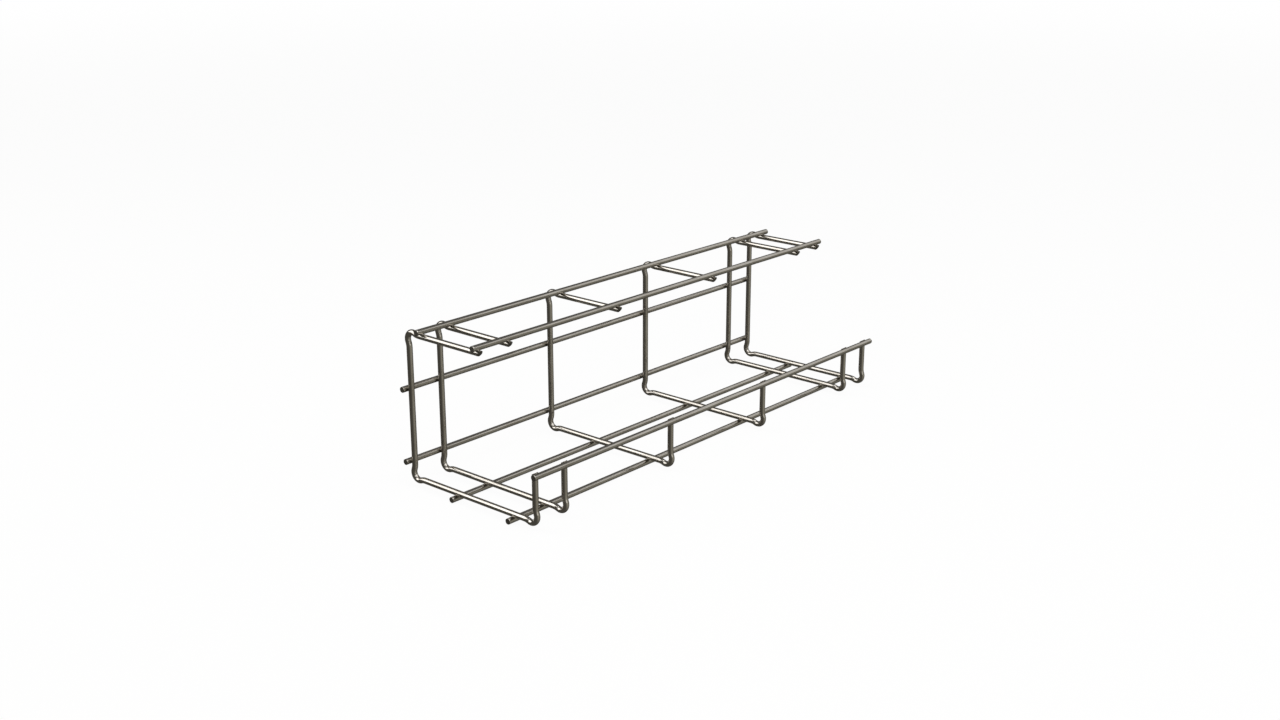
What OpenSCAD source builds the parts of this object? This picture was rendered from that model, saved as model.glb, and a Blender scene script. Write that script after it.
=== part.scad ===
// Wire mesh cable basket: six bent cross wires welded to seven straight long wires.
// Units mm. X runs along the basket, the back wall is at +Y, the front lip at -Y, Z is up.
// The origin is under the middle of the basket, on the plane it stands on.

/* [Wire stock] */
// diameter of every wire in the basket
wire_d = 3.9; // [3:0.1:5]
// how far each long wire is sunk into each cross wire at a weld
weld_sink = 0.4; // [0.1:0.1:0.8]

/* [Length] */
// spacing of the four middle cross wires, axis to axis
bay_pitch = 100; // [50:1:200]
// spacing of the doubled cross wires at each end, axis to axis
end_bay = 25; // [15:1:50]
// how far each long wire runs past the axis of the last cross wire
end_overhang = 5; // [3:0.5:20]

/* [Cross wire profile] */
// back wall to front lip, axis to axis
channel_width = 108; // [100:1:300]
// base to top flange, axis to axis
channel_height = 96.5; // [85:0.5:200]
// top flange wire end, beyond the axis of the front flange wire
flange_end_past = 2; // [0.6:0.1:5]
// lip wire end, above the axis of the long wire on the lip
lip_end_past = 0.8; // [0.6:0.1:5]
// slant of the cropped ends, each longer on the side of its long wire
crop_angle = 30; // [0:1:45]

/* [Bends] */
// centreline radius of the tight bend in each corner
corner_r = 4.8; // [4:0.1:6]
// centreline radius of the easing that swings the wire outwards before a corner
ease_r = 10; // [6:0.5:11]
// angle the wire swings outwards before each corner
ease_angle = 22.5; // [10:0.5:24]

/* [Long wires] */
// lower back wire, above the base axis
back_lower_rise = 10.9; // [10.8:0.1:20]
// spacing of the two wires on the back wall
back_spacing = 48.7; // [30:0.1:60]
// front base wire, behind the lip axis
base_front_inset = 19.2; // [12:0.1:30]
// spacing of the two wires under the base
base_spacing = 50; // [30:1:55]
// rear flange wire, in front of the back wall axis
flange_rear_inset = 12.2; // [11:0.1:20]
// spacing of the two wires on the top flange
flange_spacing = 50; // [30:1:70]
// long wire on the lip, above the base axis
lip_wire_rise = 30.8; // [15:0.1:60]

/* [Hidden] */
$fn = 64;
// the lengths of one bent wire stop just short of each other, and a core inside the wire joins them
joint_gap = 0.02;
core_slack = 0.02;
core_reach = 0.15;
zinc = [0.62, 0.61, 0.57];
wire_r = wire_d / 2;
stack = wire_d - weld_sink;
edge = stack + wire_r;
half_pitch = bay_pitch / 2;
inner_x = half_pitch + bay_pitch;
outer_x = inner_x + end_bay;
cross_x = [-outer_x, -inner_x, -half_pitch, half_pitch, inner_x, outer_x];
long_half = outer_x + end_overhang;
wall_y = channel_width / 2;
lip_y = -channel_width / 2;
base_z = edge;
flange_z = base_z + channel_height;
// bend geometry, measured along each leg from the point where the two legs would meet
bulge = (ease_r + corner_r) * (1 - cos(ease_angle));
swing = (ease_r + corner_r) * sin(ease_angle);
corner_c = corner_r - bulge;
leg_start = corner_c + swing;
flange_rear_y = wall_y - flange_rear_inset;
flange_front_y = flange_rear_y - flange_spacing;
back_lower_z = base_z + back_lower_rise;
back_upper_z = back_lower_z + back_spacing;
base_front_y = lip_y + base_front_inset;
base_rear_y = base_front_y + base_spacing;
lip_wire_z = base_z + lip_wire_rise;
flange_end_y = flange_front_y - flange_end_past;
lip_end_z = lip_wire_z + lip_end_past;

// part of a ring of wire in the XY plane about the origin
module wire_arc(radius, from, sweep) {
    trim = joint_gap / 2 / radius * 180 / PI;
    rotate([0, 0, from + trim])
        rotate_extrude(angle = sweep - 2 * trim) translate([radius, 0]) circle(r = wire_r);
}

// core across the joint at one angle on a ring of wire
module arc_core(radius, at) {
    rotate([0, 0, at]) translate([radius, 0, 0]) core_y();
}

// core across a joint at the origin in a wire along Y
module core_y() {
    rotate([90, 0, 0])
        cylinder(h = 2 * core_reach, r = wire_r - core_slack, center = true);
}

// what a slanted crop takes off a wire that ends at the origin and points along +Y
// side is 1 where the long side is on +X, and -1 where it is on -X
module crop(side) {
    rotate([0, 0, side * crop_angle]) translate([-2 * wire_d, 0, -wire_d])
        cube([4 * wire_d, 2 * wire_d, 2 * wire_d]);
}

// straight wire along X from one place to another
module run_x(from, to) {
    translate([from, 0, 0]) rotate([0, 90, 0]) cylinder(h = to - from, r = wire_r);
}

// straight wire along Y from one place to another
module run_y(from, to) {
    translate([0, from, 0]) rotate([-90, 0, 0]) cylinder(h = to - from, r = wire_r);
}

// one corner at the origin, with its legs leaving along +X and +Y
module corner_bend() {
    translate([corner_c, corner_c, 0]) {
        wire_arc(corner_r, 180 - ease_angle, 90 + 2 * ease_angle);
        arc_core(corner_r, 180 - ease_angle);
        arc_core(corner_r, 270 + ease_angle);
    }
    translate([leg_start, -ease_r, 0]) {
        wire_arc(ease_r, 90, ease_angle);
        arc_core(ease_r, 90);
    }
    translate([-ease_r, leg_start, 0]) {
        wire_arc(ease_r, -ease_angle, ease_angle);
        arc_core(ease_r, 0);
    }
}

// cross wire drawn flat: Y of the basket along X, Z of the basket along Y
module cross_profile() {
    start = leg_start + joint_gap / 2;
    translate([lip_y, lip_end_z, 0]) difference() {
        run_y(base_z + start - lip_end_z, wire_d);
        crop(-1);
    }
    translate([lip_y, base_z, 0]) corner_bend();
    translate([0, base_z, 0]) run_x(lip_y + start, wall_y - start);
    translate([wall_y, base_z, 0]) rotate([0, 0, 90]) corner_bend();
    translate([wall_y, 0, 0]) run_y(base_z + start, flange_z - start);
    translate([wall_y, flange_z, 0]) rotate([0, 0, 180]) corner_bend();
    translate([flange_end_y, flange_z, 0]) rotate([0, 0, 90]) difference() {
        run_y(flange_end_y + start - wall_y, wire_d);
        crop(1);
    }
}

module cross_wire(index) {
    color(zinc) translate([cross_x[index], 0, 0]) rotate([90, 0, 90]) cross_profile();
}

// long wire at one place across the basket, with a weld seat for each cross wire
// turn is the angle about X from straight down to the side the cross wires lie on
module long_wire(y, z, turn) {
    color(zinc) translate([0, y, z]) rotate([turn, 0, 0]) difference() {
        run_x(-long_half, long_half);
        for (x = cross_x) translate([x, 0, -stack]) run_y(-wire_d, wire_d);
    }
}

cross_wire(0);  // cross_wire_1
cross_wire(1);  // cross_wire_2
cross_wire(2);  // cross_wire_3
cross_wire(3);  // cross_wire_4
cross_wire(4);  // cross_wire_5
cross_wire(5);  // cross_wire_6
long_wire(flange_rear_y, flange_z + stack, 0);  // top_rear_wire
long_wire(flange_front_y, flange_z + stack, 0);  // top_front_wire
long_wire(wall_y + stack, back_upper_z, -90);  // back_upper_wire
long_wire(wall_y + stack, back_lower_z, -90);  // back_lower_wire
long_wire(base_rear_y, wire_r, 180);  // base_rear_wire
long_wire(base_front_y, wire_r, 180);  // base_front_wire
long_wire(lip_y - stack, lip_wire_z, 90);  // lip_wire
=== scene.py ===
"""Wire mesh cable basket: thirteen dressed wires on a pale floor under plain studio light."""

import logging
import math
from collections.abc import Callable
from dataclasses import dataclass, field
from enum import Enum

import bpy
from mathutils import Matrix, Vector


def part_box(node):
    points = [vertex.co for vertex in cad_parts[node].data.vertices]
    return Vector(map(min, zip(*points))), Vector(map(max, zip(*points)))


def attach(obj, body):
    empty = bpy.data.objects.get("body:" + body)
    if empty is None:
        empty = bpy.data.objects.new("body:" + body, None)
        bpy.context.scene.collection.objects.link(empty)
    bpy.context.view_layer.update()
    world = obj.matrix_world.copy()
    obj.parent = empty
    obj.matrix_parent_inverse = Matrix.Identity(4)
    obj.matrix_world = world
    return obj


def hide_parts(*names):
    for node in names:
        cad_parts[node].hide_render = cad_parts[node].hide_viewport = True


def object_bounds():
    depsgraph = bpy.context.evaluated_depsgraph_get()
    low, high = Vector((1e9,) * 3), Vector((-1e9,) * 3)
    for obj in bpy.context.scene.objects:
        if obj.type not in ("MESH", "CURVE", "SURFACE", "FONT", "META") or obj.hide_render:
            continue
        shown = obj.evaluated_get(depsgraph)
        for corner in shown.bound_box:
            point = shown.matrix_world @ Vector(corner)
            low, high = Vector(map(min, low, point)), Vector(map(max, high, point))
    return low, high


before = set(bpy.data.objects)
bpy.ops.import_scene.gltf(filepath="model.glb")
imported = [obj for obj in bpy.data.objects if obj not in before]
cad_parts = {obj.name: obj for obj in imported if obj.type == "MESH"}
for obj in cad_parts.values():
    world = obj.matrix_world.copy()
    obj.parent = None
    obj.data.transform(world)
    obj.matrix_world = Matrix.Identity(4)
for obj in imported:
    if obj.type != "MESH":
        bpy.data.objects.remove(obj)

CAD_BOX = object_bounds()
BODY = "root"
CROSS_WIRES = tuple(f"cross_wire_{number}" for number in range(1, 7))
MERGE_DISTANCE = 1e-6
ON_PLANE = 1e-5
LOG = logging.getLogger("cable_basket")

Point = tuple[float, float, float]
Colour = tuple[float, float, float, float]
Socket = bpy.types.NodeSocket
Feed = Socket | Colour | Point | float


class LongWireRow(Enum):
    """The seven long wires, each by the name of its CAD node."""

    TOP_REAR = "top_rear_wire"
    TOP_FRONT = "top_front_wire"
    BACK_UPPER = "back_upper_wire"
    BACK_LOWER = "back_lower_wire"
    BASE_REAR = "base_rear_wire"
    BASE_FRONT = "base_front_wire"
    LIP = "lip_wire"


class MeshPart(Enum):
    """The parts of a mesh that a step at the bench can pick, by Blender's select mode."""

    CORNERS = "VERT"
    FACES = "FACE"


class MixKind(Enum):
    """What a Mix node mixes."""

    NUMBER = "FLOAT"
    COLOUR = "RGBA"


# ---------------------------------------------------------------------------------------
# Modelling by hand: each helper is one step at the bench, on the selected mesh.
# ---------------------------------------------------------------------------------------


def pick_nothing() -> None:
    """Deselect every object, so that the next step acts on its own piece alone."""
    if bpy.context.object and bpy.context.object.mode != "OBJECT":
        bpy.ops.object.mode_set(mode="OBJECT")
    bpy.ops.object.select_all(action="DESELECT")


def pick(piece: bpy.types.Object) -> None:
    """Select one object alone and make it the active one.

    Args:
        piece: The object to select.
    """
    pick_nothing()
    piece.select_set(True)
    bpy.context.view_layer.objects.active = piece


def select_parts(
    piece: bpy.types.Object, part: MeshPart, wanted: Callable[[Vector, Vector], bool]
) -> None:
    """Select the corners or faces of a piece that pass a test, and leave it in edit mode.

    Args:
        piece: The mesh object, active.
        part: Which parts of the mesh to select.
        wanted: Called with a position and a normal; says whether the part is wanted.
    """
    bpy.ops.object.mode_set(mode="EDIT")
    bpy.ops.mesh.select_mode(type=part.value)
    bpy.ops.mesh.select_all(action="DESELECT")
    bpy.ops.object.mode_set(mode="OBJECT")
    mesh = piece.data
    if part is MeshPart.CORNERS:
        marks = [wanted(vertex.co, vertex.normal) for vertex in mesh.vertices]
        mesh.vertices.foreach_set("select", marks)
    else:
        marks = [wanted(polygon.center, polygon.normal) for polygon in mesh.polygons]
        mesh.polygons.foreach_set("select", marks)
    bpy.ops.object.mode_set(mode="EDIT")


def copy_along(piece: bpy.types.Object, name: str, shift: Vector) -> bpy.types.Object:
    """Copy a finished piece with its own mesh, moved in the mesh itself.

    Args:
        piece: The piece to copy.
        name: The new object's name.
        shift: How far the copy's mesh moves, in metres.

    Returns:
        The copy, at the origin, unturned and unscaled.
    """
    twin = piece.copy()
    twin.data = piece.data.copy()
    twin.name = name
    twin.data.name = name
    twin.data.transform(Matrix.Translation(shift))
    bpy.context.collection.objects.link(twin)
    return twin


def finish_shape(piece: bpy.types.Object, smooth_angle: float = math.radians(38.0)) -> None:
    """Merge doubles, face the normals outwards and shade the round parts smooth.

    Args:
        piece: The mesh object to finish.
        smooth_angle: Edges sharper than this stay crisp.
    """
    pick(piece)
    bpy.ops.object.mode_set(mode="EDIT")
    bpy.ops.mesh.select_all(action="SELECT")
    bpy.ops.mesh.remove_doubles(threshold=MERGE_DISTANCE)
    bpy.ops.mesh.normals_make_consistent(inside=False)
    bpy.ops.object.mode_set(mode="OBJECT")
    bpy.ops.object.shade_smooth_by_angle(angle=smooth_angle)
    piece.select_set(False)


def hand_over(piece: bpy.types.Object, node: str, finish: bpy.types.Material) -> None:
    """Put the finish on a wire and hand it to the frame in place of its CAD node.

    Args:
        piece: The modelled wire.
        node: The CAD node that it stands for.
        finish: Its material.
    """
    piece.data.materials.clear()
    piece.data.materials.append(finish)
    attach(piece, BODY)
    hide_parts(node)
    LOG.info("%s stands for %s: %d faces", piece.name, node, len(piece.data.polygons))


# ---------------------------------------------------------------------------------------
# The line that a wire follows
# ---------------------------------------------------------------------------------------


@dataclass(frozen=True)
class StraightRun:
    """A straight stretch of a wire's centre line."""

    start: Vector
    end: Vector

    @property
    def length(self) -> float:
        """Length of the stretch in metres."""
        return (self.end - self.start).length

    @property
    def heading(self) -> Vector:
        """Unit vector along the stretch."""
        return (self.end - self.start).normalized()

    def locate(self, point: Vector) -> tuple[float, Vector, Vector]:
        """Find the nearest place on the stretch.

        Args:
            point: A point near the stretch.

        Returns:
            The distance along the stretch, the offset from its line to the point, and its heading.
        """
        along = min(max((point - self.start).dot(self.heading), 0.0), self.length)
        return along, point - (self.start + self.heading * along), self.heading


@dataclass(frozen=True)
class BendRun:
    """A bend of a wire's centre line, in a plane square to X."""

    centre: Vector
    start: Vector
    sweep: float

    @property
    def radius(self) -> float:
        """Radius of the centre line in metres."""
        return (self.start - self.centre).length

    @property
    def length(self) -> float:
        """Length of the bend in metres."""
        return self.radius * abs(self.sweep)

    @property
    def end(self) -> Vector:
        """Last point of the bend's centre line."""
        return self.centre + Matrix.Rotation(self.sweep, 3, "X") @ (self.start - self.centre)

    def locate(self, point: Vector) -> tuple[float, Vector, Vector]:
        """Find the nearest place on the bend.

        Args:
            point: A point near the bend.

        Returns:
            The distance along the bend, the offset from its line to the point, and its heading.
        """
        first = self.start - self.centre
        arm = point - self.centre
        turn = math.atan2(
            first.y * arm.z - first.z * arm.y, first.y * arm.y + first.z * arm.z
        )
        share = min(max(turn / self.sweep, 0.0), 1.0)
        spoke = Matrix.Rotation(self.sweep * share, 3, "X") @ first
        heading = Vector((math.copysign(1.0, self.sweep), 0.0, 0.0)).cross(spoke).normalized()
        return self.length * share, point - (self.centre + spoke), heading


@dataclass(frozen=True)
class WireLine:
    """A wire's whole centre line: straight stretches and bends, end to end."""

    runs: tuple[StraightRun | BendRun, ...]
    tie: float = 1e-7

    def unroll(self, point: Vector) -> Vector:
        """Say where a surface point would lie if the wire were pulled straight along Z.

        Args:
            point: A point on the wire's surface.

        Returns:
            Its two offsets across the wire and its distance along it.
        """
        passed = 0.0
        nearest = math.inf
        place = Vector()
        for run in self.runs:
            along, offset, heading = run.locate(point)
            if offset.length < nearest - self.tie:
                nearest = offset.length
                runs_along_x = abs(heading.x) > 0.5
                side = Vector((0.0, 1.0, 0.0)) if runs_along_x else Vector((1.0, 0.0, 0.0))
                place = Vector((offset.dot(side), offset.dot(heading.cross(side)), passed + along))
            passed += run.length
        return place


@dataclass(frozen=True)
class CornerShape:
    """The springy corner of a bent wire: a tight bend with an easing curve on each side."""

    corner_radius: float = 0.0048
    ease_radius: float = 0.010
    ease_angle: float = math.radians(22.5)

    @property
    def inset(self) -> float:
        """Distance of the tight bend's centre from both legs."""
        return (self.corner_radius + self.ease_radius) * math.cos(self.ease_angle) - self.ease_radius

    @property
    def reach(self) -> float:
        """Distance from the virtual corner to where each leg runs straight."""
        return self.inset + (self.corner_radius + self.ease_radius) * math.sin(self.ease_angle)

    @property
    def bulge(self) -> float:
        """How far the corner stands outside its legs."""
        return self.corner_radius - self.inset

    def bends(self, corner: Vector, leg_in: Vector, leg_out: Vector) -> list[BendRun]:
        """Lay out the three bends of one corner.

        Args:
            corner: Where the two legs' centre lines would meet.
            leg_in: Unit vector from the corner along the leg that the wire comes from.
            leg_out: Unit vector from the corner along the leg that it leaves by.

        Returns:
            The easing bend, the tight bend and the second easing bend, in order.
        """
        way = 1.0 if leg_in.cross(leg_out).x < 0.0 else -1.0
        first = BendRun(
            centre=corner + leg_in * self.reach - leg_out * self.ease_radius,
            start=corner + leg_in * self.reach,
            sweep=-way * self.ease_angle,
        )
        tight = BendRun(
            centre=corner + (leg_in + leg_out) * self.inset,
            start=first.end,
            sweep=way * (math.pi / 2.0 + 2.0 * self.ease_angle),
        )
        last = BendRun(
            centre=corner + leg_out * self.reach - leg_in * self.ease_radius,
            start=tight.end,
            sweep=-way * self.ease_angle,
        )
        return [first, tight, last]


@dataclass(frozen=True)
class CutPlane:
    """A flat shear cut: a point on it and the normal of the side that falls away."""

    place: Vector
    outward: Vector


# ---------------------------------------------------------------------------------------
# Wire stock: the round bar that both kinds of wire are made from
# ---------------------------------------------------------------------------------------


@dataclass
class WireStock:
    """Round drawn wire, pushed out ring by ring along its line."""

    radius: float
    sides: int = 32
    degrees_per_ring: float = 7.5
    rim_round: float = 0.00022
    # Share of the rim's rounding, from the cut face, that takes the full cut colour: painted shade
    # that dims the rim's highlight.
    rim_shade_share: float = 0.55
    rim_segments: int = 3
    dish_depth: float = 0.00006
    dish_step: float = 0.30
    end_zone: float = 6.0
    cut_zone: float = 2.0
    ring_gap: float = 0.0004
    contact_slack: float = 1.05
    flat_facing: float = 0.9
    weld_reach: float = 0.0034
    ring_offsets: tuple[float, ...] = (0.0, 0.0012, 0.0024, 0.0038, 0.006, 0.0095)

    def stations(self, run: StraightRun, contacts: list[Vector]) -> list[float]:
        """Choose where a straight run gets its rings: closely spaced at each weld.

        Args:
            run: The straight stretch.
            contacts: Weld points near the whole wire.

        Returns:
            Distances along the run, in order, ending with the run's own end.
        """
        marks = {round(run.length, 6)}
        for contact in contacts:
            along, offset, _ = run.locate(contact)
            if offset.length > self.radius * self.contact_slack:
                continue
            for step in self.ring_offsets:
                for mark in (along - step, along + step):
                    if self.ring_gap < mark < run.length - self.ring_gap:
                        marks.add(round(mark, 6))
        kept: list[float] = []
        for mark in sorted(marks):
            if kept and mark - kept[-1] < self.ring_gap:
                kept[-1] = mark
            else:
                kept.append(mark)
        return kept

    def push_out(self, name: str, line: WireLine, contacts: list[Vector]) -> bpy.types.Object:
        """Make an open tube along a line, from one ring.

        Args:
            name: The new object's name.
            line: The centre line to follow; it starts with a straight run.
            contacts: Weld points, where the rings stand closer.

        Returns:
            The tube, still open at both ends.
        """
        pick_nothing()
        first = line.runs[0]
        turn = Vector((0.0, 0.0, 1.0)).rotation_difference(first.heading).to_euler()
        bpy.ops.mesh.primitive_circle_add(
            vertices=self.sides,
            radius=self.radius,
            fill_type="NOTHING",
            location=first.start,
            rotation=turn,
        )
        tube = bpy.context.object
        tube.name = name
        tube.data.name = name
        bpy.ops.object.transform_apply(location=True, rotation=True, scale=True)
        bpy.ops.object.mode_set(mode="EDIT")
        bpy.ops.mesh.select_mode(type="VERT")
        bpy.ops.mesh.select_all(action="SELECT")
        for run in line.runs:
            if isinstance(run, StraightRun):
                passed = 0.0
                for mark in self.stations(run, contacts):
                    bpy.ops.mesh.extrude_region_move(
                        TRANSFORM_OT_translate={"value": run.heading * (mark - passed)}
                    )
                    passed = mark
            else:
                rings = max(2, round(math.degrees(abs(run.sweep)) / self.degrees_per_ring))
                bpy.ops.mesh.spin(
                    steps=rings, angle=-run.sweep, center=run.centre, axis=(1.0, 0.0, 0.0)
                )
        bpy.ops.object.mode_set(mode="OBJECT")
        return tube

    def shear(self, tube: bpy.types.Object, cut: CutPlane) -> None:
        """Crop one end on a plane, close it and round its rim as a shear leaves it.

        Args:
            tube: The wire's mesh.
            cut: The plane of the shear cut.
        """

        def near_cut(place: Vector, _: Vector) -> bool:
            """Tell this end of the wire from the rest."""
            return (place - cut.place).length < self.end_zone * self.radius

        def on_cut(place: Vector, normal: Vector) -> bool:
            """Tell the cut face from the wire's side."""
            flat = abs((place - cut.place).dot(cut.outward)) < ON_PLANE
            return flat and near_cut(place, normal) and abs(normal.dot(cut.outward)) > self.flat_facing

        pick(tube)
        select_parts(tube, MeshPart.CORNERS, near_cut)
        bpy.ops.mesh.bisect(
            plane_co=cut.place, plane_no=cut.outward, clear_outer=True, use_fill=True
        )
        bpy.ops.object.mode_set(mode="OBJECT")
        select_parts(tube, MeshPart.FACES, on_cut)
        bpy.ops.mesh.bevel(offset=self.rim_round, segments=self.rim_segments, affect="EDGES")
        bpy.ops.object.mode_set(mode="OBJECT")
        select_parts(tube, MeshPart.FACES, on_cut)
        bpy.ops.mesh.inset(thickness=self.radius * self.dish_step)
        bpy.ops.transform.translate(value=-cut.outward * self.dish_depth)
        bpy.ops.mesh.inset(thickness=self.radius * self.dish_step)
        bpy.ops.object.mode_set(mode="OBJECT")

    def mark_surface(
        self, piece: bpy.types.Object, line: WireLine, contacts: list[Vector], cuts: list[CutPlane]
    ) -> None:
        """Store where each point lies on the unrolled wire, how near it is to a weld, and the cut
        mask: the bare cut face, darkened as painted shade, fading over the rim's rounding to dim its
        highlight.

        Args:
            piece: The finished wire.
            line: Its centre line.
            contacts: Its weld points.
            cuts: Its cut ends.
        """
        mesh = piece.data
        # All are made before any is written, because making one moves the others' data.
        kinds = {"drawn": "FLOAT_VECTOR", "weld": "FLOAT", "cut_and_rim_shade": "FLOAT"}
        for name, kind in kinds.items():
            mesh.attributes.new(name=name, type=kind, domain="POINT")
        drawn, weld, cut_and_rim_shade = (mesh.attributes[name] for name in kinds)
        for vertex in mesh.vertices:
            drawn.data[vertex.index].vector = line.unroll(vertex.co)
            nearest = min((vertex.co - contact).length for contact in contacts)
            weld.data[vertex.index].value = math.exp(-((nearest / self.weld_reach) ** 2))
            depth = min(abs((vertex.co - cut.place).dot(cut.outward)) for cut in cuts)
            reach = min((vertex.co - cut.place).length for cut in cuts)
            # The cut mask is whole on the cut face and fades over the rim's rounding: painted shade
            # that darkens the end and dims the rim's highlight.
            cut_shade_ramp = (1.0 - depth / self.rim_round) / (1.0 - self.rim_shade_share)
            at_cut = reach < self.cut_zone * self.radius
            cut_and_rim_shade.data[vertex.index].value = min(max(cut_shade_ramp, 0.0), 1.0) if at_cut else 0.0


# ---------------------------------------------------------------------------------------
# The weld's squeezed-out metal
# ---------------------------------------------------------------------------------------


@dataclass
class WeldNugget:
    """The small pillow of metal that a spot weld presses out between two crossed wires."""

    wire_radius: float
    spread: float = 0.78
    height: float = 0.36
    edge_round: float = 0.36
    edge_segments: int = 2
    crown_step: float = 0.4
    flat_facing: float = 0.99
    sides: int = 16
    smooth_angle: float = math.radians(75.0)

    def press(self, name: str) -> bpy.types.Object:
        """Model one pillow at the origin, its axis along Z.

        Args:
            name: The new object's name.

        Returns:
            The pillow.
        """
        pick_nothing()
        bpy.ops.mesh.primitive_cylinder_add(
            vertices=self.sides,
            radius=self.wire_radius * self.spread,
            depth=self.wire_radius * self.height,
            end_fill_type="NGON",
        )
        pillow = bpy.context.object
        pillow.name = name
        bpy.ops.object.mode_set(mode="EDIT")
        bpy.ops.mesh.select_all(action="SELECT")
        bpy.ops.mesh.bevel(
            offset=self.wire_radius * self.height * self.edge_round,
            segments=self.edge_segments,
            affect="EDGES",
        )
        bpy.ops.object.mode_set(mode="OBJECT")
        select_parts(pillow, MeshPart.FACES, lambda _, normal: abs(normal.z) > self.flat_facing)
        bpy.ops.mesh.inset(thickness=self.wire_radius * self.crown_step)
        bpy.ops.object.mode_set(mode="OBJECT")
        finish_shape(pillow, self.smooth_angle)
        return pillow


# ---------------------------------------------------------------------------------------
# The two kinds of wire
# ---------------------------------------------------------------------------------------


@dataclass
class BentCrossWire:
    """A wire bent into the channel: top flange, back wall, base and front lip."""

    stock: WireStock
    corner: CornerShape = field(default_factory=CornerShape)
    flange_end_past: float = 0.0020
    lip_end_past: float = 0.0008
    crop_angle: float = math.radians(30.0)
    crop_spare: float = 0.0030

    def axes(self) -> tuple[float, float, float, float, float]:
        """Read where the legs run from the first cross wire's box.

        Returns:
            The wire's x, the lip's and the wall's y, and the base's and the flange's z.
        """
        low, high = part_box(CROSS_WIRES[0])
        inset = self.stock.radius + self.corner.bulge
        return (
            (low[0] + high[0]) / 2.0,
            low[1] + inset,
            high[1] - inset,
            low[2] + inset,
            high[2] - inset,
        )

    def cuts(self) -> list[CutPlane]:
        """Place the two slanted shear cuts, long side towards the nearest long wire.

        Returns:
            The cut at the flange's end and the cut at the lip's end.
        """
        x, lip_y, _, _, flange_z = self.axes()
        top_low, top_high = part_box(LongWireRow.TOP_FRONT.value)
        lip_low, lip_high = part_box(LongWireRow.LIP.value)
        flange_end = (top_low[1] + top_high[1]) / 2.0 - self.flange_end_past
        lip_end = (lip_low[2] + lip_high[2]) / 2.0 + self.lip_end_past
        lean, rise = math.sin(self.crop_angle), math.cos(self.crop_angle)
        return [
            CutPlane(Vector((x, flange_end, flange_z)), Vector((0.0, -rise, -lean))),
            CutPlane(Vector((x, lip_y, lip_end)), Vector((0.0, lean, rise))),
        ]

    def line(self) -> WireLine:
        """Lay out the centre line from the flange's end to the lip's end.

        Returns:
            The line, with a little spare at both ends for the shear.
        """
        x, lip_y, wall_y, base_z, flange_z = self.axes()
        flange_cut, lip_cut = self.cuts()
        along_y = Vector((0.0, 1.0, 0.0))
        along_z = Vector((0.0, 0.0, 1.0))
        top_back = self.corner.bends(Vector((x, wall_y, flange_z)), -along_y, -along_z)
        low_back = self.corner.bends(Vector((x, wall_y, base_z)), along_z, -along_y)
        low_front = self.corner.bends(Vector((x, lip_y, base_z)), along_y, along_z)
        start = flange_cut.place - along_y * self.crop_spare
        finish = lip_cut.place + along_z * self.crop_spare
        return WireLine(
            (
                StraightRun(start, top_back[0].start),
                *top_back,
                StraightRun(top_back[-1].end, low_back[0].start),
                *low_back,
                StraightRun(low_back[-1].end, low_front[0].start),
                *low_front,
                StraightRun(low_front[-1].end, finish),
            )
        )

    def contacts(self) -> list[Vector]:
        """Find the points where this wire is welded to the seven long wires.

        Returns:
            One point on the wire's surface for each long wire.
        """
        x, lip_y, wall_y, base_z, flange_z = self.axes()
        reach = self.stock.radius
        places = []
        for row in LongWireRow:
            low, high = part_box(row.value)
            y, z = (low[1] + high[1]) / 2.0, (low[2] + high[2]) / 2.0
            if row in (LongWireRow.TOP_REAR, LongWireRow.TOP_FRONT):
                places.append(Vector((x, y, flange_z + reach)))
            elif row in (LongWireRow.BACK_UPPER, LongWireRow.BACK_LOWER):
                places.append(Vector((x, wall_y + reach, z)))
            elif row is LongWireRow.LIP:
                places.append(Vector((x, lip_y - reach, z)))
            else:
                places.append(Vector((x, y, base_z - reach)))
        return places

    def build(self) -> list[bpy.types.Object]:
        """Bend one wire, crop both its ends, and copy it to its five other places.

        Returns:
            The six cross wires, in order along X.
        """
        line, cuts, contacts = self.line(), self.cuts(), self.contacts()
        wire = self.stock.push_out(f"dressed_{CROSS_WIRES[0]}", line, contacts)
        for cut in cuts:
            self.stock.shear(wire, cut)
        finish_shape(wire)
        self.stock.mark_surface(wire, line, contacts, cuts)
        wires = [wire]
        first_x = self.axes()[0]
        for node in CROSS_WIRES[1:]:
            low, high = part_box(node)
            shift = Vector(((low[0] + high[0]) / 2.0 - first_x, 0.0, 0.0))
            wires.append(copy_along(wire, f"dressed_{node}", shift))
        return wires

    def dress(self, finish: bpy.types.Material) -> None:
        """Build the six cross wires and put each in place of its CAD node.

        Args:
            finish: The material of the cross wires.
        """
        for wire, node in zip(self.build(), CROSS_WIRES, strict=True):
            hand_over(wire, node, finish)


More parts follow.
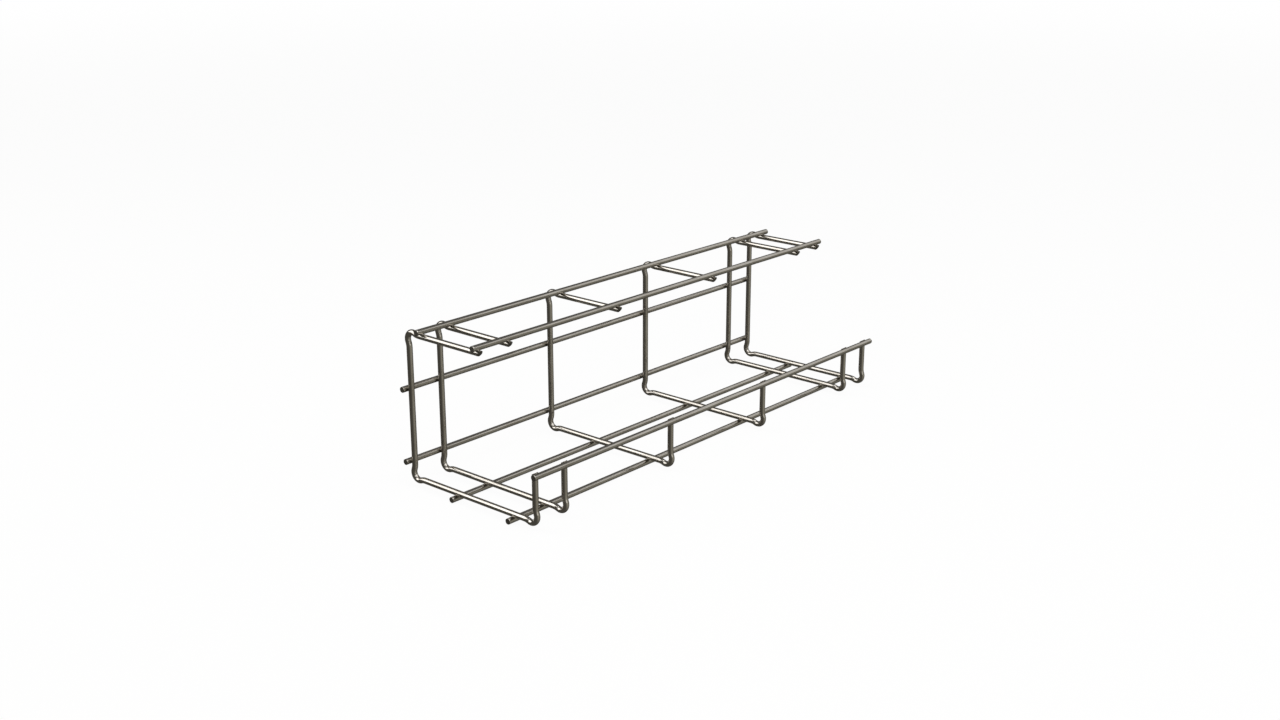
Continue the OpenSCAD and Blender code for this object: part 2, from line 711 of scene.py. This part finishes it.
@dataclass
class StraightLongWire:
    """A straight wire along the basket, with the six welds that hold the cross wires."""

    stock: WireStock
    weld_sink: float = 0.0004

    def centre(self, row: LongWireRow) -> Vector:
        """Read the middle of a long wire from its CAD box.

        Args:
            row: Which long wire.

        Returns:
            The middle of its box.
        """
        low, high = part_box(row.value)
        return (Vector(low) + Vector(high)) / 2.0

    def weld_turn(self, row: LongWireRow) -> float:
        """Say how far round X the welds of a row lie from the top of its wire.

        Args:
            row: Which long wire.

        Returns:
            The turn about X, in radians, from welds on top.
        """
        turns = {
            LongWireRow.TOP_REAR: math.pi,
            LongWireRow.TOP_FRONT: math.pi,
            LongWireRow.BACK_UPPER: math.pi / 2.0,
            LongWireRow.BACK_LOWER: math.pi / 2.0,
            LongWireRow.BASE_REAR: 0.0,
            LongWireRow.BASE_FRONT: 0.0,
            LongWireRow.LIP: -math.pi / 2.0,
        }
        return turns[row]

    def weld_places(self) -> list[float]:
        """Read the x of every cross wire."""
        boxes = [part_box(node) for node in CROSS_WIRES]
        return [(low[0] + high[0]) / 2.0 for low, high in boxes]

    def template(self) -> bpy.types.Object:
        """Draw one wire along X through the origin, welds on top, ends cropped square.

        Returns:
            The wire with its weld pillows joined on.
        """
        low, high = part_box(LongWireRow.BASE_FRONT.value)
        spare = Vector((self.stock.radius, 0.0, 0.0))
        start, finish = Vector((low[0], 0.0, 0.0)), Vector((high[0], 0.0, 0.0))
        contacts = [Vector((x, 0.0, self.stock.radius)) for x in self.weld_places()]
        cuts = [
            CutPlane(start, Vector((-1.0, 0.0, 0.0))),
            CutPlane(finish, Vector((1.0, 0.0, 0.0))),
        ]
        line = WireLine((StraightRun(start - spare, finish + spare),))
        wire = self.stock.push_out("long_wire_pattern", line, contacts)
        for cut in cuts:
            self.stock.shear(wire, cut)
        finish_shape(wire)
        pillow = WeldNugget(self.stock.radius).press("weld_pillow_pattern")
        pillows = [
            copy_along(pillow, "weld_pillow", contact - Vector((0.0, 0.0, self.weld_sink / 2.0)))
            for contact in contacts
        ]
        pick(wire)
        for extra in pillows:
            extra.select_set(True)
        bpy.ops.object.join()
        bpy.data.objects.remove(pillow, do_unlink=True)
        self.stock.mark_surface(wire, line, contacts, cuts)
        return wire

    def build(self) -> dict[LongWireRow, bpy.types.Object]:
        """Draw one wire and copy it to the seven rows, each turned to face its welds.

        Returns:
            The dressed long wire of each row.
        """
        pattern = self.template()
        wires = {}
        for row in LongWireRow:
            wire = copy_along(pattern, f"dressed_{row.value}", Vector())
            wire.data.transform(Matrix.Rotation(self.weld_turn(row), 4, "X"))
            wire.data.transform(Matrix.Translation(Vector((0.0, *self.centre(row)[1:]))))
            wires[row] = wire
        bpy.data.objects.remove(pattern, do_unlink=True)
        return wires

    def dress(self, finish: bpy.types.Material) -> None:
        """Build the seven long wires and put each in place of its CAD node.

        Args:
            finish: The material of the long wires.
        """
        for row, wire in self.build().items():
            hand_over(wire, row.value, finish)


# ---------------------------------------------------------------------------------------
# Finishes
# ---------------------------------------------------------------------------------------


class NodeBench:
    """Places and joins shader nodes in one node tree."""

    def __init__(self, tree: bpy.types.NodeTree) -> None:
        """Start with an empty tree.

        Args:
            tree: The node tree to fill.
        """
        self.tree = tree
        self.tree.nodes.clear()

    def add(
        self, kind: str, inputs: dict[str | int, Feed] | None = None, **settings: object
    ) -> bpy.types.Node:
        """Add a node.

        Args:
            kind: The node's type name.
            inputs: For its input sockets, by name or index, a plain value or an earlier output.
            settings: Properties of the node itself.

        Returns:
            The new node.
        """
        node = self.tree.nodes.new(kind)
        for key, value in settings.items():
            setattr(node, key, value)
        for key, value in (inputs or {}).items():
            if isinstance(value, bpy.types.NodeSocket):
                self.tree.links.new(value, node.inputs[key])
            else:
                node.inputs[key].default_value = value
        return node

    def maths(self, operation: str, first: Feed, second: Feed, clamp: bool = False) -> Socket:
        """Add a Math node.

        Args:
            operation: What it works out.
            first: Its first value.
            second: Its second value.
            clamp: Whether the result is kept from 0 to 1.

        Returns:
            The result's socket.
        """
        inputs = {0: first, 1: second}
        return self.add("ShaderNodeMath", inputs, operation=operation, use_clamp=clamp).outputs[0]

    def ease(self, value: Socket, start: float, full: float, **span: float) -> Socket:
        """Add a smooth step.

        Args:
            value: The value that is followed.
            start: Where the step begins.
            full: Where it ends.
            span: The results at its ends, as To_Min and To_Max, where they aren't 0 and 1.

        Returns:
            The result's socket.
        """
        inputs = {"Value": value, "From Min": start, "From Max": full}
        inputs.update({name.replace("_", " "): result for name, result in span.items()})
        step = self.add("ShaderNodeMapRange", inputs, interpolation_type="SMOOTHSTEP")
        return step.outputs["Result"]

    def mix(self, under: Feed, over: Feed, mask: Feed, kind: MixKind) -> Socket:
        """Add a Mix node.

        Args:
            under: What shows where the mask is 0.
            over: What shows where the mask is 1.
            mask: The share of the second.
            kind: What is mixed.

        Returns:
            The result's socket.
        """
        inputs = {"A": under, "B": over, "Factor": mask}
        return self.add("ShaderNodeMix", inputs, data_type=kind.value).outputs["Result"]


def effect_group(
    name: str, inputs: dict[str, tuple[str, float | None]]
) -> tuple[NodeBench, bpy.types.NodeOutputs, Callable[[Socket], bpy.types.NodeTree]]:
    """Start a shared shader effect with named inputs and one output, a mask.

    Args:
        name: The group's name.
        inputs: Socket kind and default value for each input name.

    Returns:
        The group's bench, its inputs, and a function that puts out a mask and gives the group.
    """
    group = bpy.data.node_groups.new(name, "ShaderNodeTree")
    for label, (kind, value) in inputs.items():
        socket = group.interface.new_socket(label, in_out="INPUT", socket_type=kind)
        if value is not None:
            socket.default_value = value
    group.interface.new_socket("Mask", in_out="OUTPUT", socket_type="NodeSocketFloat")
    bench = NodeBench(group)

    def put_out(mask: Socket) -> bpy.types.NodeTree:
        """Put the mask out and give the finished group."""
        bench.add("NodeGroupOutput", {"Mask": mask})
        return group

    return bench, bench.add("NodeGroupInput").outputs, put_out


def die_lines_group(line_length: float = 0.03) -> bpy.types.NodeTree:
    """Build the fine lines that a drawing die leaves along a wire.

    Args:
        line_length: How far a line runs before it fades, in metres.

    Returns:
        A group that turns unrolled wire coordinates into a 0 to 1 mask.
    """
    bench, given, put_out = effect_group(
        "die_lines",
        {
            "Unrolled": ("NodeSocketVector", None),
            "Lines per metre": ("NodeSocketFloat", 2600.0),
            "Line length": ("NodeSocketFloat", line_length),
        },
    )
    split = bench.add("ShaderNodeSeparateXYZ", {0: given["Unrolled"]}).outputs
    pattern = {
        "X": bench.maths("MULTIPLY", split["X"], given["Lines per metre"]),
        "Y": bench.maths("MULTIPLY", split["Y"], given["Lines per metre"]),
        "Z": bench.maths("DIVIDE", split["Z"], given["Line length"]),
    }
    place = bench.add("ShaderNodeCombineXYZ", pattern).outputs[0]
    look = {"Vector": place, "Scale": 1.0, "Detail": 3.0, "Roughness": 0.6}
    return put_out(bench.add("ShaderNodeTexNoise", look).outputs["Fac"])


def plating_mottle_group(patch_from: float = 0.32, patch_full: float = 0.68) -> bpy.types.NodeTree:
    """Build the soft patches of a thin zinc coat: wide clouds with small flecks in them.

    Args:
        patch_from: The cloud value at which a patch begins.
        patch_full: The cloud value at which it is at its strongest.

    Returns:
        A group that turns a position into a 0 to 1 mask.
    """
    bench, given, put_out = effect_group(
        "plating_mottle",
        {
            "Position": ("NodeSocketVector", None),
            "Clouds per metre": ("NodeSocketFloat", 60.0),
            "Flecks per metre": ("NodeSocketFloat", 900.0),
            "Fleck share": ("NodeSocketFloat", 0.35),
        },
    )
    place = {"Vector": given["Position"], "Detail": 2.0}
    clouds = place | {"Scale": given["Clouds per metre"], "Roughness": 0.5}
    flecks = place | {"Scale": given["Flecks per metre"], "Roughness": 0.6}
    blend = bench.mix(
        bench.add("ShaderNodeTexNoise", clouds).outputs["Fac"],
        bench.add("ShaderNodeTexNoise", flecks).outputs["Fac"],
        given["Fleck share"],
        MixKind.NUMBER,
    )
    return put_out(bench.ease(blend, patch_from, patch_full))


def weld_soot_group(thinnest: float = 0.55, thickest: float = 1.25) -> bpy.types.NodeTree:
    """Build the dull ring round a spot weld, broken up so that no two look the same.

    Args:
        thinnest: The ring's strength where it is most broken up.
        thickest: Its strength where it is whole.

    Returns:
        A group that turns weld nearness and a position into a 0 to 1 mask.
    """
    bench, given, put_out = effect_group(
        "weld_soot",
        {
            "Nearness": ("NodeSocketFloat", 0.0),
            "Position": ("NodeSocketVector", None),
            "Strength": ("NodeSocketFloat", 0.45),
            "Specks per metre": ("NodeSocketFloat", 700.0),
        },
    )
    specks = {"Vector": given["Position"], "Scale": given["Specks per metre"], "Detail": 2.0}
    noise = bench.add("ShaderNodeTexNoise", specks).outputs["Fac"]
    span = {"Value": noise, "To Min": thinnest, "To Max": thickest}
    ragged = bench.add("ShaderNodeMapRange", span).outputs["Result"]
    ring = bench.maths("MULTIPLY", given["Nearness"], ragged)
    return put_out(bench.maths("MULTIPLY", ring, given["Strength"], clamp=True))


@dataclass(frozen=True)
class SharedEffects:
    """The shader groups that every wire's finish draws on."""

    die_lines: bpy.types.NodeTree
    mottle: bpy.types.NodeTree
    soot: bpy.types.NodeTree

    @classmethod
    def build(cls) -> "SharedEffects":
        """Build the three groups."""
        return cls(die_lines_group(), plating_mottle_group(), weld_soot_group())


@dataclass(frozen=True)
class PlatedWireFinish:
    """Bright zinc plating over drawn steel wire, dull at the welds; bare steel at the cut ends,
    darkened with painted shade that also dims the rims' highlight.
    """

    name: str
    bright: Colour = (0.445, 0.422, 0.385, 1.0)
    dull: Colour = (0.378, 0.352, 0.315, 1.0)
    soot: Colour = (0.20, 0.185, 0.15, 1.0)
    # The cut colour: bare steel, darkened further as painted shade over the end faces and their rims.
    cut: Colour = (0.155, 0.145, 0.125, 1.0)
    roughness_bright: float = 0.10
    roughness_dull: float = 0.17
    roughness_soot: float = 0.40
    roughness_cut: float = 0.48
    lines_per_metre: float = 2600.0
    clouds_per_metre: float = 60.0
    line_depth: float = 0.000003
    line_strength: float = 0.5

    def masks(self, bench: NodeBench, effects: SharedEffects) -> tuple[Socket, Socket, Socket]:
        """Place the groups that say where the plating is dull or sooty, and the mask of the cut ends,
        where painted shade darkens the end faces and their rims.

        Args:
            bench: The material's bench.
            effects: The shared shader groups.

        Returns:
            The sockets of the mottle, of the weld soot and of the cut faces with their rims, the last
            partly painted shade.
        """
        place = bench.add("ShaderNodeTexCoord").outputs["Object"]
        weld = bench.add("ShaderNodeAttribute", attribute_name="weld").outputs["Fac"]
        # Mask of the cut faces and their rims' rounding: bare steel, with painted shade that dims the
        # rims' highlight.
        cut_and_rim_shade = bench.add("ShaderNodeAttribute", attribute_name="cut_and_rim_shade").outputs["Fac"]
        clouds = {"Position": place, "Clouds per metre": self.clouds_per_metre}
        mottle = bench.add("ShaderNodeGroup", clouds, node_tree=effects.mottle)
        near_weld = {"Nearness": weld, "Position": place}
        soot = bench.add("ShaderNodeGroup", near_weld, node_tree=effects.soot)
        return mottle.outputs["Mask"], soot.outputs["Mask"], cut_and_rim_shade

    def relief(self, bench: NodeBench, effects: SharedEffects) -> Socket:
        """Place the die lines as a shallow bump along the wire.

        Args:
            bench: The material's bench.
            effects: The shared shader groups.

        Returns:
            The socket that carries the surface's normal.
        """
        unrolled = bench.add("ShaderNodeAttribute", attribute_name="drawn").outputs["Vector"]
        along = {"Unrolled": unrolled, "Lines per metre": self.lines_per_metre}
        lines = bench.add("ShaderNodeGroup", along, node_tree=effects.die_lines).outputs["Mask"]
        depth = {"Height": lines, "Strength": self.line_strength, "Distance": self.line_depth}
        return bench.add("ShaderNodeBump", depth).outputs["Normal"]

    def make(self, effects: SharedEffects) -> bpy.types.Material:
        """Build the material.

        Args:
            effects: The shared shader groups.

        Returns:
            The material, ready to assign.
        """
        material = bpy.data.materials.new(self.name)
        material.use_nodes = True
        bench = NodeBench(material.node_tree)
        dulled, sooty, cut = self.masks(bench, effects)
        colour, roughness = self.bright, self.roughness_bright
        for shade, polish, mask in (
            (self.dull, self.roughness_dull, dulled),
            (self.soot, self.roughness_soot, sooty),
            # Cut ends: bare steel colour darkened as painted shade, over the face and the rim's
            # rounding.
            (self.cut, self.roughness_cut, cut),
        ):
            colour = bench.mix(colour, shade, mask, MixKind.COLOUR)
            roughness = bench.mix(roughness, polish, mask, MixKind.NUMBER)
        surface = {
            "Metallic": 1.0,
            "Base Color": colour,
            "Roughness": roughness,
            "Normal": self.relief(bench, effects),
        }
        metal = bench.add("ShaderNodeBsdfPrincipled", surface).outputs["BSDF"]
        bench.add("ShaderNodeOutputMaterial", {"Surface": metal})
        return material


# ---------------------------------------------------------------------------------------
# Studio
# ---------------------------------------------------------------------------------------


class BackdropRay(Enum):
    """The kinds of ray that see the plain white backdrop, by their Light Path output."""

    CAMERA = "Is Camera Ray"
    GLOSSY = "Is Glossy Ray"
    TRANSMISSION = "Is Transmission Ray"


@dataclass(frozen=True)
class BackdropShare:
    """How much of the white backdrop each kind of ray sees, from 0 to 1."""

    camera: float
    glossy: float
    transmission: float

    def mask(self, bench: NodeBench) -> Socket:
        """Add nodes that give this share for the ray at hand.

        Args:
            bench: The node tree's bench.

        Returns:
            The socket that carries the share.
        """
        path = bench.add("ShaderNodeLightPath").outputs
        total = bench.maths("MULTIPLY", path[BackdropRay.CAMERA.value], self.camera)
        for ray, share in (
            (BackdropRay.GLOSSY, self.glossy),
            (BackdropRay.TRANSMISSION, self.transmission),
        ):
            part = bench.maths("MULTIPLY", path[ray.value], share)
            total = bench.maths("ADD", total, part, clamp=True)
        return total


@dataclass(frozen=True)
class SoftBox:
    """One soft studio lamp, turned towards the basket: angles in degrees, sizes in metres."""

    name: str
    azimuth: float
    elevation: float
    distance: float
    width: float
    height: float
    radiance: float
    colour: tuple[float, float, float] = (1.0, 1.0, 1.0)

    def place(self, target: Vector) -> None:
        """Hang the lamp and aim it.

        Args:
            target: The point that it faces.
        """
        turn, lift = math.radians(self.azimuth), math.radians(self.elevation)
        arm = Vector(
            (math.cos(lift) * math.cos(turn), math.cos(lift) * math.sin(turn), math.sin(lift))
        )
        pick_nothing()
        bpy.ops.object.light_add(
            type="AREA",
            location=target + arm * self.distance,
            rotation=arm.to_track_quat("Z", "Y").to_euler(),
        )
        lamp = bpy.context.object
        lamp.name = self.name
        lamp.data.shape = "RECTANGLE"
        lamp.data.size = self.width
        lamp.data.size_y = self.height
        lamp.data.color = self.colour
        lamp.data.energy = self.radiance * math.pi * self.width * self.height


@dataclass
class Studio:
    """Plain pale floor, white backdrop, five soft boxes and the camera."""

    floor_size: float = 12.0
    floor_colour: Colour = (0.80, 0.80, 0.78, 1.0)
    floor_share: BackdropShare = BackdropShare(camera=0.95, glossy=0.95, transmission=0.95)
    fade_from: float = 0.9
    fade_full: float = 4.0
    room_dark: Colour = (0.060, 0.056, 0.042, 1.0)
    room_glow: Colour = (0.48, 0.47, 0.40, 1.0)
    room_ceiling: Colour = (0.14, 0.14, 0.135, 1.0)
    ceiling_from: float = 0.0
    ceiling_full: float = 0.85
    glow_azimuth: float = math.radians(-76.0)
    glow_elevation: float = math.radians(-6.0)
    glow_falloff: float = 2.7
    world_share: BackdropShare = BackdropShare(camera=1.0, glossy=0.06, transmission=1.0)
    camera_place: Point = (-0.7738, -0.6568, 0.3826)
    camera_tilt: float = math.radians(71.98)
    camera_turn: float = math.radians(-49.01)
    camera_lens: float = 43.45
    camera_sensor: float = 36.0
    camera_shift: tuple[float, float] = (-0.00016, 0.00055)
    boxes: tuple[SoftBox, ...] = (
        SoftBox("rear_left_box", 133.0, 32.5, 1.6, 1.05, 1.48, 2.85),
        SoftBox("front_right_box", -20.0, 29.0, 1.6, 1.7, 1.0, 0.76),
        SoftBox("front_box", -100.0, 8.0, 1.6, 1.2, 0.45, 0.70),
        SoftBox("front_left_box", -150.0, 38.0, 1.6, 1.2, 0.9, 0.9),
        SoftBox("overhead_box", -90.0, 66.0, 1.2, 1.1, 1.6, 2.4),
    )

    def floor_white(self, bench: NodeBench) -> Socket:
        """Give the floor's white share, which grows to the whole far from the basket.

        Args:
            bench: The floor material's bench.

        Returns:
            The socket that carries the share.
        """
        place = bench.add("ShaderNodeTexCoord").outputs["Object"]
        distance = bench.add("ShaderNodeVectorMath", {0: place}, operation="LENGTH")
        fade = bench.ease(
            distance.outputs["Value"],
            self.fade_from,
            self.fade_full,
            To_Min=1.0,
            To_Max=1.0 / self.floor_share.camera,
        )
        return bench.maths("MULTIPLY", self.floor_share.mask(bench), fade, clamp=True)

    def lay_floor(self) -> None:
        """Lay the floor under the basket, out of sight of the metal's reflections."""
        pick_nothing()
        bpy.ops.mesh.primitive_plane_add(size=self.floor_size, location=(0.0, 0.0, CAD_BOX[0][2]))
        floor = bpy.context.object
        floor.name = "studio_floor"
        bpy.ops.object.transform_apply(location=True, rotation=True, scale=True)
        material = bpy.data.materials.new("pale_floor")
        material.use_nodes = True
        bench = NodeBench(material.node_tree)
        paint = bench.add("ShaderNodeBsdfDiffuse", {"Color": self.floor_colour}).outputs[0]
        white = bench.add("ShaderNodeEmission", {"Strength": 1.0}).outputs[0]
        blend = bench.add("ShaderNodeMixShader", {"Fac": self.floor_white(bench), 1: paint, 2: white})
        bench.add("ShaderNodeOutputMaterial", {"Surface": blend.outputs[0]})
        floor.data.materials.append(material)
        floor.visible_glossy = False

    def room_tone(self, bench: NodeBench) -> Socket:
        """Colour the room: dark round about, a glow in front, an even ceiling.

        Args:
            bench: The world's bench.

        Returns:
            The socket that carries the room's colour.
        """
        lift = math.cos(self.glow_elevation)
        glow_way = (
            lift * math.cos(self.glow_azimuth),
            lift * math.sin(self.glow_azimuth),
            math.sin(self.glow_elevation),
        )
        look = bench.add("ShaderNodeTexCoord").outputs["Generated"]
        facing = bench.add("ShaderNodeVectorMath", {0: look, 1: glow_way}, operation="DOT_PRODUCT")
        front = bench.maths("MAXIMUM", facing.outputs["Value"], 0.0)
        glow = bench.maths("POWER", front, self.glow_falloff)
        walls = bench.mix(self.room_dark, self.room_glow, glow, MixKind.COLOUR)
        height = bench.add("ShaderNodeSeparateXYZ", {0: look}).outputs["Z"]
        ceiling = bench.ease(height, self.ceiling_from, self.ceiling_full)
        return bench.mix(walls, self.room_ceiling, ceiling, MixKind.COLOUR)

    def light_world(self) -> None:
        """Give the room its even light and its white backdrop."""
        world = bpy.data.worlds.new("plain_room")
        world.use_nodes = True
        bpy.context.scene.world = world
        bench = NodeBench(world.node_tree)
        tone = {"Color": self.room_tone(bench), "Strength": 1.0}
        room = bench.add("ShaderNodeBackground", tone).outputs[0]
        plain = {"Color": (1.0, 1.0, 1.0, 1.0), "Strength": 1.0}
        white = bench.add("ShaderNodeBackground", plain).outputs[0]
        share = self.world_share.mask(bench)
        blend = bench.add("ShaderNodeMixShader", {"Fac": share, 1: room, 2: white})
        bench.add("ShaderNodeOutputWorld", {"Surface": blend.outputs[0]})

    def aim_camera(self) -> None:
        """Set up the scene's camera."""
        pick_nothing()
        bpy.ops.object.camera_add(
            location=self.camera_place, rotation=(self.camera_tilt, 0.0, self.camera_turn)
        )
        camera = bpy.context.object
        camera.name = "studio_camera"
        camera.data.sensor_width = self.camera_sensor
        camera.data.lens = self.camera_lens
        camera.data.shift_x, camera.data.shift_y = self.camera_shift
        bpy.context.scene.camera = camera

    def build(self) -> None:
        """Set up the floor, the light and the camera."""
        bpy.context.scene.view_settings.view_transform = "Standard"
        self.lay_floor()
        self.light_world()
        low, high = CAD_BOX
        middle = (Vector(low) + Vector(high)) / 2.0
        for box in self.boxes:
            box.place(middle)
        self.aim_camera()
        LOG.info("the studio has %d soft boxes", len(self.boxes))


def main() -> None:
    """Build the basket's wires in order, then the studio."""
    logging.basicConfig(level=logging.INFO, format="%(message)s")
    LOG.info("the frame holds %d nodes on %s", len(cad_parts), BODY)
    low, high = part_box(CROSS_WIRES[0])
    stock = WireStock(radius=(high[0] - low[0]) / 2.0)
    effects = SharedEffects.build()
    BentCrossWire(stock).dress(PlatedWireFinish("plated_cross_wire").make(effects))
    long_finish = PlatedWireFinish("plated_long_wire", lines_per_metre=2200.0)
    StraightLongWire(stock).dress(long_finish.make(effects))
    Studio().build()
    pick_nothing()


if __name__ == "__main__":
    main()
